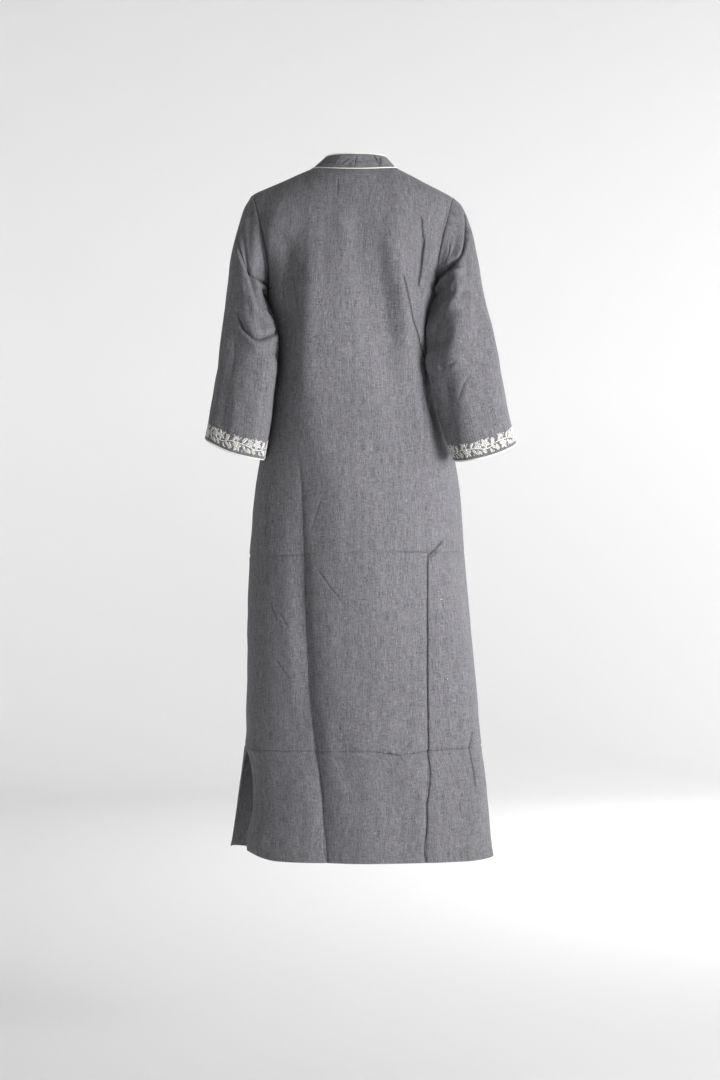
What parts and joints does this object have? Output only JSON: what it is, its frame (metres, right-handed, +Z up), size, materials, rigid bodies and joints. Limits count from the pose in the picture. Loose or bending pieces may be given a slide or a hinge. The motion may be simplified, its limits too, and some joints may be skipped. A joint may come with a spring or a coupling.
{
  "type": "kurta tunic",
  "caption": "Long straight kurta tunic in slate linen, worn and hollow, with a stand collar, flared sleeves, side slits and a vine border on each cuff.",
  "frame": {"origin": "on the centre plane at the base of the neck, where the wearer's shoulders hold the tunic", "axes": "+Z up, +X towards the wearer's left, -Y the way the wearer faces"},
  "size_m": [0.54, 0.2597, 1.2345],
  "materials": {
    "slate_linen": "heathered slate grey linen, matte, with fine slubs along the grain",
    "ivory_trim": "ivory cotton piping and embroidery thread, with a low satin sheen"
  },
  "bodies": {
    "root": {"back_panel": "slate_linen", "front_panel": "slate_linen", "sleeve_left": "slate_linen", "sleeve_right": "slate_linen", "collar": "slate_linen", "collar_seam_piping": "ivory_trim", "collar_top_piping": "ivory_trim", "cuff_piping_left": "ivory_trim", "cuff_piping_right": "ivory_trim"}
  },
  "joints": []
}
